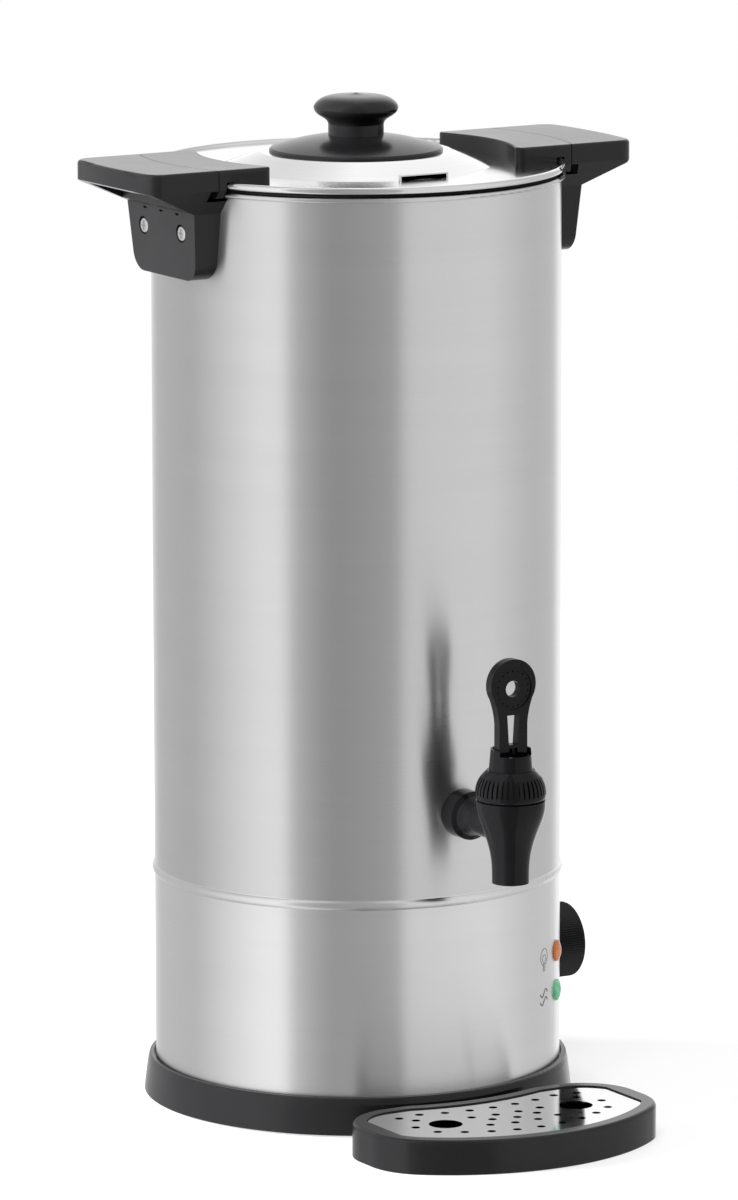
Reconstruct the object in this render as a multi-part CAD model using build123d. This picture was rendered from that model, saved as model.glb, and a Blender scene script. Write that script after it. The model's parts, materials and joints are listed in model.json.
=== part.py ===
from build123d import *

import os
from math import cos, pi, radians, sin, sqrt

# Countertop water boiler with a lever tap, a bayonet lid, a drip tray and a side control.
# Millimetres, +Z up. The origin is on the worktop, on the axis of the tank; the tap faces -Y,
# the handles stand at +X and -X, and the control faces +X.

# ---- driving dimensions -------------------------------------------------------------------

FIT = 0.3  # air left between curved faces of pieces that move apart
RUNNING_FIT = 0.08  # air round a turning shaft or a sliding stem
CUT = 1.0  # how far a cutting shape runs past the face it cuts

# tank and skirt
BODY_R = 125.0  # outside radius of the steel wall
WALL = 0.8  # sheet thickness
RIM_TOP = 571.0  # top of the rolled rim
ROLL_R = 1.5  # section radius of the rolled rim
RIM_OVERHANG = 1.1  # how far the roll's centre lies outside the wall
BEAD_Z = 141.5  # pressed bead that joins the tank to the skirt
BEAD_SECTION_R = 3.4
BEAD_STAND_OUT = 1.6
NECK_DEPTH = 14.0  # how far the tank's neck reaches into the skirt
FLOOR_RISE = 5.0  # underside of the tank's floor, above the skirt's top edge

# base
FOOT_H = 3.5
RING_H = 23.4  # top of the base ring above the worktop
RING_FLARE_BOTTOM = 7.2  # how far the ring stands out of the wall at its foot
RING_FLARE_TOP = 3.9
RING_GROOVE_W = 1.2  # dark line between the ring and the skirt
RING_GROOVE_H = 3.0
RING_GROUND_GAP = 1.0
RING_WALL = 3.0
RING_SHELF = 13.0  # width of the shelf the skirt stands on
SKIRT_BOTTOM = 8.0
BASE_PLATE_T = 1.5
BASE_PLATE_INSET = 1.0
FOOT_R = 10.0
FOOT_INSET = 25.0  # centres of the feet, in from the wall
BASE_SCREW_INSET = 6.0
BASE_SCREW_R = 1.6
BASE_SCREW_L = 4.0
BASE_HEAD_R = 3.0
BASE_HEAD_H = 1.6
FOOT_COUNT = 4
VENT_SLOT_COUNT = 5
VENT_SLOT_PITCH = 9.0
VENT_SLOT_W = 3.0
VENT_SLOT_L = 60.0

# heating under the floor
PLATE_R = 72.0
PLATE_T = 4.0
ELEMENT_R = 52.0
ELEMENT_TUBE_R = 4.0
ELEMENT_SINK = 1.0  # how far the tube sits into the plate
ELEMENT_SWEEP_DEGREES = 300
ELEMENT_PIN_R = 2.0
ELEMENT_PIN_H = 22.0
STUD_R = 3.0
STUD_H = 26.0
BAR_OVERHANG = 10.0  # the bar runs past the tube by this much at each end
BAR_W = 18.0
BAR_T = 3.0
NUT_FLAT_R = 5.0
NUT_T = 5.0
CUTOUT_R = 9.0
CUTOUT_H = 8.0
CUTOUT_X = -24.0
CUTOUT_Y = 24.0
BLADE_W = 4.0
BLADE_T = 0.8
BLADE_L = 9.0
BLADE_PITCH = 10.0

# control on the right-hand side
DIAL_Z = 76.0
DIAL_R = 23.5
DIAL_STAND_OFF = 3.0  # back of the knob, out from the wall
DIAL_DEPTH = 24.3
DIAL_SKIRT_STEP = 3.5  # how much the knob's skirt is wider than its grip
DIAL_SKIRT_T = 3.4
DIAL_RIDGE_COUNT = 96
DIAL_RIDGE_DEPTH = 0.7
DIAL_EDGE = 1.4
DIAL_WALL = 2.4
DIAL_FACE_T = 3.0
DIAL_MARK_W = 1.4
BEZEL_MARGIN = 4.2  # how much the plate behind the knob is wider than the knob's skirt
BEZEL_HOLE_R = 21.0
BEZEL_STAND_OUT = 2.3
SHAFT_R = 3.0
SHAFT_HOLE_MARGIN = 2.0
SHAFT_INSIDE = 17.0  # length of shaft behind the wall
SHAFT_OUTSIDE = 21.0
HUB_R = 6.5
STAT_W = 32.0
STAT_H = 46.0
STAT_D = 26.0
STAT_SCREW_PITCH = 28.0
STAT_SCREW_R = 2.0
STAT_SCREW_L = 9.0
STAT_HEAD_R = 3.6
STAT_HEAD_H = 2.0

# indicator lamps
LAMP_ANGLE = 47.0  # degrees round from the tap towards the control
LAMP_HIGH_Z = 91.9
LAMP_PITCH = 24.8
LENS_R = 6.7
LENS_STAND_OUT = 3.2
LENS_FLANGE_T = 1.2
LAMP_BARREL_R = 4.8
LAMP_BARREL_L = 5.0
LAMP_HOUSING_R = 6.2
LAMP_DEPTH = 20.0

# wiring inlet at the back
GLAND_Z = 45.0
GLAND_R = 7.0
GLAND_INSIDE = 14.0
GLAND_FLANGE_R = 10.5
GLAND_FLANGE_T = 4.0
GLAND_BORE_R = 3.6
TERMINAL_Y = 70.0
TERMINAL_L = 44.0
TERMINAL_D = 20.0
TERMINAL_H = 18.0
TERMINAL_WAY_COUNT = 4
TERMINAL_WAY_R = 3.2
TERMINAL_WAY_DEPTH = 5.0
TERMINAL_WIRE_R = 2.0

# lid
LID_GAP = 2.0  # dark joint between the tank's rim and the lid's rim
LID_OVERHANG = 3.0  # how far the lid's rim stands out of the wall
LID_ROLL_R = 2.15
LID_FLAT_DROP = 2.0  # flat ring of the lid, below the top of its rolled rim
LID_FLAT_W = 46.0
LID_CONE_H = 8.8
LID_TOP_R = 58.5
LID_PLUG_GAP = 1.6  # between the lid's plug and the tank wall
LID_PLUG_H = 13.0
SEAL_AIR = 0.3  # between the seal and the tank wall
SEAL_H = 8.0
SEAL_TAPER = 0.8
SEAL_LIP_T = 1.2
VENT_Y = 80.0  # mouth of the vent's hood, forward of the axis
VENT_BACK_Y = 60.0  # where the hood runs out on the cone
VENT_L = 34.0
VENT_BACK_L = 14.0
VENT_H = 2.4  # lip of the hood above the cone

# knob on the lid
DISC_R = 53.0
DISC_EDGE = 2.2
DISC_DOME = 7.7
KNOB_H = 35.4  # from the lid's top to the knob's top
KNOB_R = 25.8
KNOB_WIDE_H = 26.5  # height of the widest point above the lid's top
KNOB_NECK_R = 17.0
KNOB_NECK_H = 16.6  # height of the top of the neck above the lid's top
KNOB_SCREW_R = 2.5
KNOB_SCREW_L = 18.0

# handles
HANDLE_RISE = 14.0  # top of the handles above the tank's rim
HANDLE_HALF_W = 49.2
HANDLE_REACH = 44.0  # corners of the outer end, out from the wall
HANDLE_BULGE = 4.0  # how far the curved end stands out between its corners
HANDLE_CORNER_R = 11.0
HANDLE_END_T = 12.0
HANDLE_WALL = 4.0
EDGE_R = 2.4
LIP_DROP = 26.6  # where the grip's sloping underside meets the leg, below the top
LEG_STAND_OUT = 11.3
LEG_TAPER = 3.0
LEG_HALF_W = 41.0
LEG_NARROWING = 4.0
LEG_CORNER_R = 12.0
LEG_H = 68.0  # from the handle's top to the foot of the leg
SEAM_OUT = 8.0  # arc between each fixed handle and the lid's tab, out from the wall
SEAM_GAP = 0.5
BAYONET_DEPTH = 5.0
BAYONET_H = 6.6
BAYONET_DROP = 19.0
HANDLE_SCREW_DROP = 39.8
HANDLE_SCREW_Y = 22.8
HANDLE_HOLE_R = 5.5
HANDLE_HOLE_DEPTH = 3.4
HANDLE_HEAD_R = 4.6
HANDLE_HEAD_H = 2.4
HANDLE_SHANK_R = 2.0
HANDLE_SCREW_L = 16.0
HANDLE_NUT_FLAT_R = 4.6
HANDLE_NUT_L = 10.0
NOTCH_COUNT = 3
NOTCH_W = 4.0
NOTCH_H = 1.2
NOTCH_PITCH = 19.5
TAB_LENGTH = 36.0  # from the seam to the tab's concave inner end
TAB_CORNER_R = 5.0
TAB_WALL = 3.0
TAB_SCREW_IN = 25.0  # from the seam to the tab's screws
TAB_SCREW_Y = 24.0
TAB_BOSS_R = 4.0
TAB_SCREW_R = 1.6
TAB_SCREW_L = 6.8
TAB_HEAD_R = 3.2
TAB_HEAD_H = 1.8

# tap, heights counted from the axis of its shank
SHANK_Z = 195.4
TAP_REACH = 55.0  # axis of the spout, out from the wall
SPOUT_DROP = 32.8
SPOUT_R = 11.2
SPOUT_BORE_R = 6.5
SEAT_DROP = 17.4
TAP_BODY_R = 20.9
TAP_FLARE_TOP = 14.2
TAP_FLARE_POWER = 1.6  # higher keeps the spout slim further up
TAP_SHOULDER = 17.6
TAP_NECK_R = 17.4
TAP_NECK_H = 9.0
CHAMBER_R = 14.4
BONNET_R = 21.3
BONNET_GAP = 0.7
BONNET_H = 17.8
BONNET_TOP_T = 3.2
BONNET_FLAT_R = 14.4
BONNET_GROOVE_COUNT = 40
BONNET_GROOVE_W = 1.2
BONNET_GROOVE_D = 2.2  # below the widest round, at half height
BONNET_GROOVE_TILT = 14.0
BONNET_GROOVE_SHARE = 0.68  # of the height
COLLAR_R = 12.1
COLLAR_FLARE = 1.1
COLLAR_BORE_R = 11.0
COLLAR_H = 12.9
COLLAR_NOTCH_H = 3.5
FLANGE_R = 14.8
FLANGE_L = 13.0
BARREL_R = 10.0
SHANK_R = 8.5
SHANK_BORE_R = 5.5
SHANK_INSIDE = 21.0
TAP_NUT_FLAT_R = 13.0
TAP_NUT_T = 7.0
WASHER_R = 13.0
WASHER_T = 2.0
STEM_R = 3.0
STEM_FLAT = 2.4  # half the thickness of the stem's flatted end
STEM_LIFT = 3.0
CUP_R = 9.0
CUP_H = 10.0
CUP_TAPER = 2.5
SPRING_WIRE_R = 0.8
SPRING_R = 6.2
SPRING_TURN_COUNT = 6
PIN_RISE = 6.5  # lever pin above the bonnet
PIN_R = 1.5
LEVER_T = 6.0
LEVER_L = 45.2  # from the pin to the middle of the round head
LEVER_HEAD_R = 15.6
LEVER_NECK_W = 19.5
LEVER_NECK_L = 22.0
LEVER_HOLE_R = 4.9
LEVER_HOLE_DROP = 2.4
LEVER_DISH_R = 12.6
LEVER_DISH_DEPTH = 0.7
LEVER_SLOT_W = 8.6
LEVER_SLOT_L = 18.0
LEVER_SLOT_START = 9.0
LEVER_FORK_W = 5.8
LEVER_FORK_H = 7.0

# drip tray
TRAY_HALF_W = 96.7
TRAY_FRONT_R = 131.0
TRAY_LENGTH = 107.6  # from the base's foot to the front of the tray
TRAY_REAR_Y = 1.7  # how far the straight rear edges lie in front of the base's wall line
TRAY_BACK_GAP = 5.8  # between the tray's curved back and the base's foot
TRAY_CORNER_FRONT_R = 40.0
TRAY_CORNER_REAR_R = 36.0
TRAY_HORN_R = 20.0
LUG_HALF_W = 15.0
LUG_SLOPE = 6.0
LUG_H = 12.0
TRAY_H = 20.8
TRAY_EDGE_R = 2.6
TRAY_WALL = 2.4
TRAY_RIM = 9.0
TRAY_END_RIM = 12.0
TRAY_LEDGE = 3.0
TRAY_FLOOR = 2.5
PLATE_SINK = 0.8  # top of the perforated plate below the tray's rim
DRIP_PLATE_T = 1.2
PLATE_CLEARANCE = 0.35
FINGER_HOLE_R = 10.2
FINGER_HOLE_X = 46.0
FINGER_HOLE_IN = 48.8  # from the foot of the base to the finger holes
DRAIN_R = 2.65
DRAIN_PITCH = 16.1
DRAIN_ROW_COUNT = 7
DRAIN_INNER_IN = 28.1  # curved row nearest the tank, from the foot of the base
DRAIN_SECOND_IN = 44.4
DRAIN_MID_IN = 56.0
DRAIN_FOURTH_IN = 67.0
DRAIN_OUTER_IN = 83.2
DRAIN_OUTER_R = 97.0  # curvature of the outermost row
DRAIN_MID_R = 43.0  # curvature of the middle row
DRAIN_ROUND_R = 19.8  # small holes about the middle of each finger hole
DRAIN_ROUND_STEP = 51.0  # degrees
DRAIN_ROUND_TILT = 6.0
DRAIN_FAR_R = 31.0

# ---- levels and radii that follow ---------------------------------------------------------

inner_r = BODY_R - WALL
seam_z = BEAD_Z + BEAD_SECTION_R  # top edge of the skirt
floor_z = seam_z + FLOOR_RISE
base_foot_r = BODY_R + RING_FLARE_BOTTOM
lid_bottom = RIM_TOP + LID_GAP
lid_r = BODY_R + LID_OVERHANG
lid_rim_top = lid_bottom + 2 * LID_ROLL_R
lid_flat = lid_rim_top - LID_FLAT_DROP
lid_slope_r = lid_r - LID_FLAT_W
lid_top = lid_flat + LID_CONE_H
handle_top = RIM_TOP + HANDLE_RISE
seam_r = BODY_R + SEAM_OUT
leg_out_x = BODY_R + LEG_STAND_OUT
leg_bottom = handle_top - LEG_H
lip_z = handle_top - LIP_DROP
handle_screw_z = handle_top - HANDLE_SCREW_DROP
dial_back = BODY_R + DIAL_STAND_OFF
dial_front = dial_back + DIAL_DEPTH
dial_skirt_r = DIAL_R + DIAL_SKIRT_STEP
tap_y = -(BODY_R + TAP_REACH)
spout_bottom = SHANK_Z - SPOUT_DROP
seat_z = SHANK_Z - SEAT_DROP
tap_shoulder = SHANK_Z + TAP_SHOULDER
tap_neck_top = tap_shoulder + TAP_NECK_H
bonnet_bottom = tap_shoulder + BONNET_GAP
bonnet_top = bonnet_bottom + BONNET_H
collar_top = bonnet_top + COLLAR_H
pin_z = bonnet_top + PIN_RISE
cup_top = seat_z + CUP_H


# ---- helpers ------------------------------------------------------------------------------

def save(name, *shapes):
    """Write one node, made of one or more separate solids."""
    solids = [solid for shape in shapes for solid in shape.solids()]
    export_step(Compound(children=solids) if len(solids) > 1 else solids[0], f"parts/{name}.step")


def disc(radius, z0, z1):
    """Upright cylinder between two heights."""
    return Pos(0, 0, z0) * Cylinder(radius, z1 - z0, align=(Align.CENTER, Align.CENTER, Align.MIN))


def ring(outer, inner, z0, z1):
    """Upright tube between two heights."""
    return disc(outer, z0, z1) - disc(inner, z0, z1)


def block(x0, x1, y0, y1, z0, z1):
    """Box between two corners."""
    return Pos((x0 + x1) / 2, (y0 + y1) / 2, (z0 + z1) / 2) * Box(x1 - x0, y1 - y0, z1 - z0)


def turned(points, smooth=()):
    """Solid turned about Z from (radius, height) points; the corners listed in smooth are rounded."""
    outline = Plane.XZ * make_face(Polyline(*points, close=True))
    for index, radius in smooth:
        wanted = Vector(points[index][0], 0, points[index][1])
        corner = min(outline.vertices(), key=lambda vertex: (Vector(*tuple(vertex)) - wanted).length)
        outline = fillet(corner, radius)
    return revolve(outline, Axis.Z)


def curved_turned(profile, closing):
    """Solid turned about Z: a smooth curve through profile, closed by straight lines through closing."""
    curve = Spline(*[(r, z) for r, z in profile])
    rest = Polyline(profile[-1], *closing, profile[0])
    return revolve(Plane.XZ * make_face(curve + rest), Axis.Z)


def polar(radius, angle, z=0.0):
    """Point round the tank; angles are counted from the tap towards the control."""
    return (radius * sin(radians(angle)), -radius * cos(radians(angle)), z)


def facing_out(radius, angle, z):
    """Location on the wall whose local Z points straight out from the axis."""
    return Location(Plane(origin=polar(radius, angle, z), z_dir=polar(1, angle)))


def facing(x, y, z, direction):
    """Location whose local Z points along a direction."""
    return Location(Plane(origin=(x, y, z), z_dir=direction))


def spread(count, pitch):
    """Positions of an evenly pitched row, centred on zero."""
    return [(i - (count - 1) / 2) * pitch for i in range(count)]


def hexagon(flat_radius, thickness):
    """Hexagonal nut blank standing on XY."""
    return extrude(RegularPolygon(flat_radius, 6, major_radius=False), thickness)


def ridged(radius, depth, ridge_count, height):
    """Upright cylinder with sharp ridges round it."""
    step = pi / ridge_count
    points = []
    for i in range(2 * ridge_count):
        r = radius - depth * (i % 2)
        points.append((r * cos(i * step), r * sin(i * step)))
    return extrude(make_face(Polyline(*points, close=True)), height)


def pan_screw(head_r, head_h, shank_r, length):
    """Screw with its head on +Z and its shank down -Z, with a cross recess in the head."""
    head = fillet(disc(head_r, 0, head_h).edges().group_by(Axis.Z)[-1], head_h * 0.4)
    arm = Pos(0, 0, head_h) * Box(1.2 * head_r, 0.3 * head_r, head_h)
    return head - arm - Rot(0, 0, 90) * arm + disc(shank_r, -length, 0)


def fillet_where(plan, radius, wanted):
    """Round the corners of a plan that pass a test on their position."""
    return fillet(plan.vertices().filter_by(wanted), radius)


def both_sides(shape):
    """The shape and its half-turn copy round the tank."""
    return [shape, Rot(0, 0, 180) * shape]


# ---- tank and skirt -----------------------------------------------------------------------

neck_r = inner_r - WALL
roll_z = RIM_TOP - ROLL_R
tank = turned(
    [
        (0, floor_z),
        (neck_r, floor_z),
        (neck_r, seam_z - NECK_DEPTH),
        (inner_r, seam_z - NECK_DEPTH),
        (inner_r, seam_z),
        (BODY_R, seam_z),
        (BODY_R, roll_z),
        (inner_r, roll_z),
        (inner_r, floor_z + WALL),
        (0, floor_z + WALL),
    ]
)
tank += Pos(0, 0, roll_z) * Torus(BODY_R + RIM_OVERHANG, ROLL_R)
shank_line = facing(0, 0, SHANK_Z, (0, -1, 0))
tank -= shank_line * disc(SHANK_R, inner_r / 2, BODY_R + CUT)

skirt = ring(BODY_R, inner_r, SKIRT_BOTTOM, seam_z)
bead_r = BODY_R + BEAD_STAND_OUT - BEAD_SECTION_R
bead = Pos(0, 0, BEAD_Z) * Torus(bead_r, BEAD_SECTION_R)
skirt += bead - disc(inner_r, BEAD_Z - 2 * BEAD_SECTION_R, BEAD_Z + 2 * BEAD_SECTION_R)
lamp_low_z = LAMP_HIGH_Z - LAMP_PITCH
for lamp_z in (LAMP_HIGH_Z, lamp_low_z):
    skirt -= facing_out(BODY_R, LAMP_ANGLE, lamp_z) * Cylinder(LAMP_BARREL_R, 12 * CUT)
dial_axis = facing_out(BODY_R, 90, DIAL_Z)
skirt -= dial_axis * Cylinder(SHAFT_R + SHAFT_HOLE_MARGIN, 12 * CUT)
stat_screw_spots = [facing_out(BODY_R, 90, DIAL_Z + rise) for rise in spread(2, STAT_SCREW_PITCH)]
for spot in stat_screw_spots:
    skirt -= spot * Cylinder(STAT_SCREW_R, 12 * CUT)
skirt -= facing_out(BODY_R, 180, GLAND_Z) * Cylinder(GLAND_R, 12 * CUT)

# ---- base ---------------------------------------------------------------------------------

plate_bottom = FOOT_H
plate_top = plate_bottom + BASE_PLATE_T
ring_top_r = BODY_R + RING_FLARE_TOP
shelf_r = BODY_R - RING_SHELF
base_ring = turned(
    [
        (base_foot_r, RING_GROUND_GAP),
        (base_foot_r - 0.4, plate_top),
        (ring_top_r + 1.0, RING_H - 4.0),
        (ring_top_r, RING_H),
        (BODY_R + RING_GROOVE_W, RING_H),
        (BODY_R + RING_GROOVE_W, RING_H - RING_GROOVE_H),
        (BODY_R, RING_H - RING_GROOVE_H),
        (BODY_R, SKIRT_BOTTOM),
        (shelf_r, SKIRT_BOTTOM),
        (shelf_r, plate_top),
        (base_foot_r - RING_WALL - 0.6, plate_top),
        (base_foot_r - RING_WALL, RING_GROUND_GAP),
    ],
    smooth=[(3, 1.2), (2, 3.0)],
)
base_plate = disc(BODY_R - BASE_PLATE_INSET, plate_bottom, plate_top)
for slot_x in spread(VENT_SLOT_COUNT, VENT_SLOT_PITCH):
    slot = block(-VENT_SLOT_W / 2, VENT_SLOT_W / 2, -VENT_SLOT_L / 2, VENT_SLOT_L / 2, 0, plate_top + CUT)
    base_plate -= Pos(slot_x, 0, 0) * slot

feet, base_screws = [], []
for i in range(FOOT_COUNT):
    angle = (i + 0.5) * 360 / FOOT_COUNT
    foot = disc(FOOT_R, 0, plate_bottom)
    feet.append(Pos(*polar(BODY_R - FOOT_INSET, angle)) * fillet(foot.edges().group_by(Axis.Z)[0], 1.0))
    screw_at = Pos(*polar(BODY_R - BASE_SCREW_INSET, angle, plate_bottom)) * Rot(180, 0, 0)
    base_screws.append(screw_at * pan_screw(BASE_HEAD_R, BASE_HEAD_H, BASE_SCREW_R, BASE_SCREW_L))
    hole = screw_at * disc(BASE_SCREW_R, -BASE_SCREW_L, CUT)
    base_plate -= hole
    base_ring -= hole

# ---- heating and switchgear under the floor -----------------------------------------------

element_z = floor_z - PLATE_T - ELEMENT_TUBE_R + ELEMENT_SINK
arc_start = 90 + (360 - ELEMENT_SWEEP_DEGREES) / 2
arc = CenterArc((0, 0, element_z), ELEMENT_R, arc_start, ELEMENT_SWEEP_DEGREES)
heating_element = sweep(Plane(origin=arc @ 0, z_dir=arc % 0) * Circle(ELEMENT_TUBE_R), path=arc)
for end in (arc @ 0, arc @ 1):
    heating_element += Pos(end.X, end.Y, element_z) * Sphere(ELEMENT_TUBE_R)
    heating_element += Pos(end.X, end.Y, 0) * disc(ELEMENT_PIN_R, element_z - ELEMENT_PIN_H, element_z)
element_stud = disc(STUD_R, floor_z - STUD_H, floor_z)
element_plate = disc(PLATE_R, floor_z - PLATE_T, floor_z) - element_stud - heating_element
bar_top = element_z - ELEMENT_TUBE_R
bar_half = ELEMENT_R + ELEMENT_TUBE_R + BAR_OVERHANG
clamp_bar = block(-bar_half, bar_half, -BAR_W / 2, BAR_W / 2, bar_top - BAR_T, bar_top) - element_stud
clamp_nut = Pos(0, 0, bar_top - BAR_T - NUT_T) * hexagon(NUT_FLAT_R, NUT_T) - element_stud
cutout_top = floor_z - PLATE_T
cutout_bottom = cutout_top - CUTOUT_H
heat_cutout = Pos(CUTOUT_X, CUTOUT_Y, 0) * disc(CUTOUT_R, cutout_bottom, cutout_top)
for blade_y in spread(2, BLADE_PITCH):
    blade_at = Pos(CUTOUT_X, CUTOUT_Y + blade_y, cutout_bottom - BLADE_L / 2)
    heat_cutout += blade_at * Box(BLADE_T, BLADE_W, BLADE_L)

stat_front = sqrt(inner_r**2 - (STAT_W / 2) ** 2)
stat_low, stat_high = DIAL_Z - STAT_H / 2, DIAL_Z + STAT_H / 2
thermostat = block(stat_front - STAT_D, stat_front, -STAT_W / 2, STAT_W / 2, stat_low, stat_high)
thermostat = chamfer(thermostat.edges().filter_by(Axis.X), 3.0)
control_shaft = dial_axis * disc(SHAFT_R, -SHAFT_INSIDE, SHAFT_OUTSIDE)
thermostat -= dial_axis * disc(SHAFT_R + RUNNING_FIT, -SHAFT_INSIDE - CUT, CUT)
stat_screws = []
for spot in stat_screw_spots:
    screw = spot * pan_screw(STAT_HEAD_R, STAT_HEAD_H, STAT_SCREW_R, STAT_SCREW_L)
    thermostat -= screw
    stat_screws.append(screw)

terminal_top = plate_top + TERMINAL_H
terminal_block = Pos(0, TERMINAL_Y, plate_top + TERMINAL_H / 2) * Box(TERMINAL_L, TERMINAL_D, TERMINAL_H)
for way_x in spread(TERMINAL_WAY_COUNT, TERMINAL_L / TERMINAL_WAY_COUNT):
    terminal_block -= Pos(way_x, TERMINAL_Y, 0) * disc(
        TERMINAL_WAY_R, terminal_top - TERMINAL_WAY_DEPTH, terminal_top + CUT
    )
    wire_way = facing(way_x, TERMINAL_Y, plate_top + TERMINAL_H / 2, (0, 1, 0))
    terminal_block -= wire_way * Cylinder(TERMINAL_WIRE_R, TERMINAL_D + CUT)

gland_at = facing_out(BODY_R, 180, GLAND_Z)
flange = disc(GLAND_FLANGE_R, -GLAND_FLANGE_T, GLAND_FLANGE_T)
flange = gland_at * fillet(flange.edges().group_by(Axis.Z)[-1], 1.2) - disc(BODY_R, 0, 2 * GLAND_Z)
cord_gland = flange + gland_at * disc(GLAND_R, -GLAND_INSIDE, GLAND_FLANGE_T)
cord_gland -= gland_at * disc(GLAND_BORE_R, -GLAND_INSIDE - CUT, GLAND_FLANGE_T + CUT)

# ---- indicator lamps ----------------------------------------------------------------------

def lamp_lens(z):
    """Domed lens with a barrel through the skirt."""
    dome_h = LENS_STAND_OUT - LENS_FLANGE_T
    dome_r = (LENS_R**2 + dome_h**2) / (2 * dome_h)
    dome = Pos(0, 0, LENS_STAND_OUT - dome_r) * Sphere(dome_r) & disc(LENS_R, LENS_FLANGE_T, LENS_STAND_OUT)
    at = facing_out(BODY_R, LAMP_ANGLE, z)
    head = at * (disc(LENS_R, -LENS_STAND_OUT, LENS_FLANGE_T) + dome)
    head -= disc(BODY_R, z - 2 * LENS_R, z + 2 * LENS_R)
    return head + at * disc(LAMP_BARREL_R, -LAMP_BARREL_L, LENS_FLANGE_T)


def lamp_housing(z):
    """Neon housing clipped behind the skirt, round the lens's barrel."""
    at = facing_out(BODY_R, LAMP_ANGLE, z)
    body = at * disc(LAMP_HOUSING_R, -LAMP_DEPTH, 0) & disc(inner_r, z - 2 * LENS_R, z + 2 * LENS_R)
    return body - at * disc(LAMP_BARREL_R, -LAMP_BARREL_L, CUT)


# ---- control knob -------------------------------------------------------------------------

bezel_r = dial_skirt_r + BEZEL_MARGIN
dial_bezel = dial_axis * ring(bezel_r, BEZEL_HOLE_R, -bezel_r / 4, BEZEL_STAND_OUT)
dial_bezel -= disc(BODY_R, DIAL_Z - 2 * bezel_r, DIAL_Z + 2 * bezel_r)

knob_back, knob_front = DIAL_STAND_OFF, DIAL_STAND_OFF + DIAL_DEPTH
grip_start = knob_back + DIAL_SKIRT_T + 2.4
pocket_r = DIAL_R - DIAL_WALL
dial_skirt = turned(
    [
        (pocket_r, knob_back),
        (dial_skirt_r, knob_back),
        (dial_skirt_r, knob_back + 1.2),
        (dial_skirt_r - 1.2, knob_back + DIAL_SKIRT_T),
        (DIAL_R - 0.2, grip_start),
        (pocket_r, grip_start),
    ]
)
grip = Pos(0, 0, grip_start) * ridged(DIAL_R, DIAL_RIDGE_DEPTH, DIAL_RIDGE_COUNT, knob_front - grip_start)
nose = disc(DIAL_R + DIAL_EDGE / 2, grip_start - CUT, knob_front)
nose = chamfer(nose.edges().group_by(Axis.Z)[-1], DIAL_EDGE)
control_knob = dial_skirt + (grip & nose) - disc(pocket_r, knob_back - CUT, knob_front - DIAL_FACE_T)
control_knob += disc(HUB_R, knob_back + 2, knob_front - DIAL_FACE_T + CUT)
control_knob = dial_axis * control_knob - control_shaft
control_knob -= block(
    dial_front - 0.8, dial_front + CUT, -DIAL_MARK_W / 2, DIAL_MARK_W / 2, DIAL_Z + 6, DIAL_Z + DIAL_R + CUT
)

# ---- handles ------------------------------------------------------------------------------

far_x = BODY_R + HANDLE_REACH + 2 * HANDLE_BULGE
end_x = BODY_R + HANDLE_REACH
tab_in_r = seam_r - TAB_LENGTH


def wing():
    """Plan of a whole handle, from inside the tank's rim to its bulging outer end."""
    near, far = (end_x, -HANDLE_HALF_W), (end_x, HANDLE_HALF_W)
    end = ThreePointArc(near, (end_x + HANDLE_BULGE, 0), far)
    sides = Polyline(far, (0, HANDLE_HALF_W), (0, -HANDLE_HALF_W), near)
    plan = make_face(end + sides)
    return fillet(plan.vertices().group_by(Axis.X)[-1], HANDLE_CORNER_R)


def handle_blank():
    """Grip, leg and tab as one solid, on the +X side, before it is cut at the seam."""
    side_profile = Polyline(
        (0, handle_top),
        (far_x, handle_top),
        (far_x, handle_top - HANDLE_END_T + HANDLE_BULGE / 2),
        (end_x, handle_top - HANDLE_END_T),
        (leg_out_x, lip_z),
        (leg_out_x - LEG_TAPER, leg_bottom),
        (0, leg_bottom),
        close=True,
    )
    undercut_z = handle_top - HANDLE_END_T
    foot_half_w = LEG_HALF_W - LEG_NARROWING
    right_flank = [
        (HANDLE_HALF_W, handle_top),
        (HANDLE_HALF_W, undercut_z),
        (LEG_HALF_W, lip_z),
        (foot_half_w, leg_bottom),
    ]
    left_flank = [(-y, z) for y, z in reversed(right_flank)]
    section = Plane.YZ * make_face(Polyline(*right_flank, *left_flank, close=True))
    section = fillet(section.vertices().group_by(Axis.Z)[0], LEG_CORNER_R)
    blank = Pos(0, 0, leg_bottom) * extrude(wing(), LEG_H)
    blank &= extrude(Plane.XZ * make_face(side_profile), 2 * HANDLE_HALF_W, both=True)
    blank &= extrude(section, far_x)
    return fillet(blank.edges().group_by(Axis.Z)[-1].filter_by(lambda edge: edge.center().X > CUT), EDGE_R)


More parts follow.
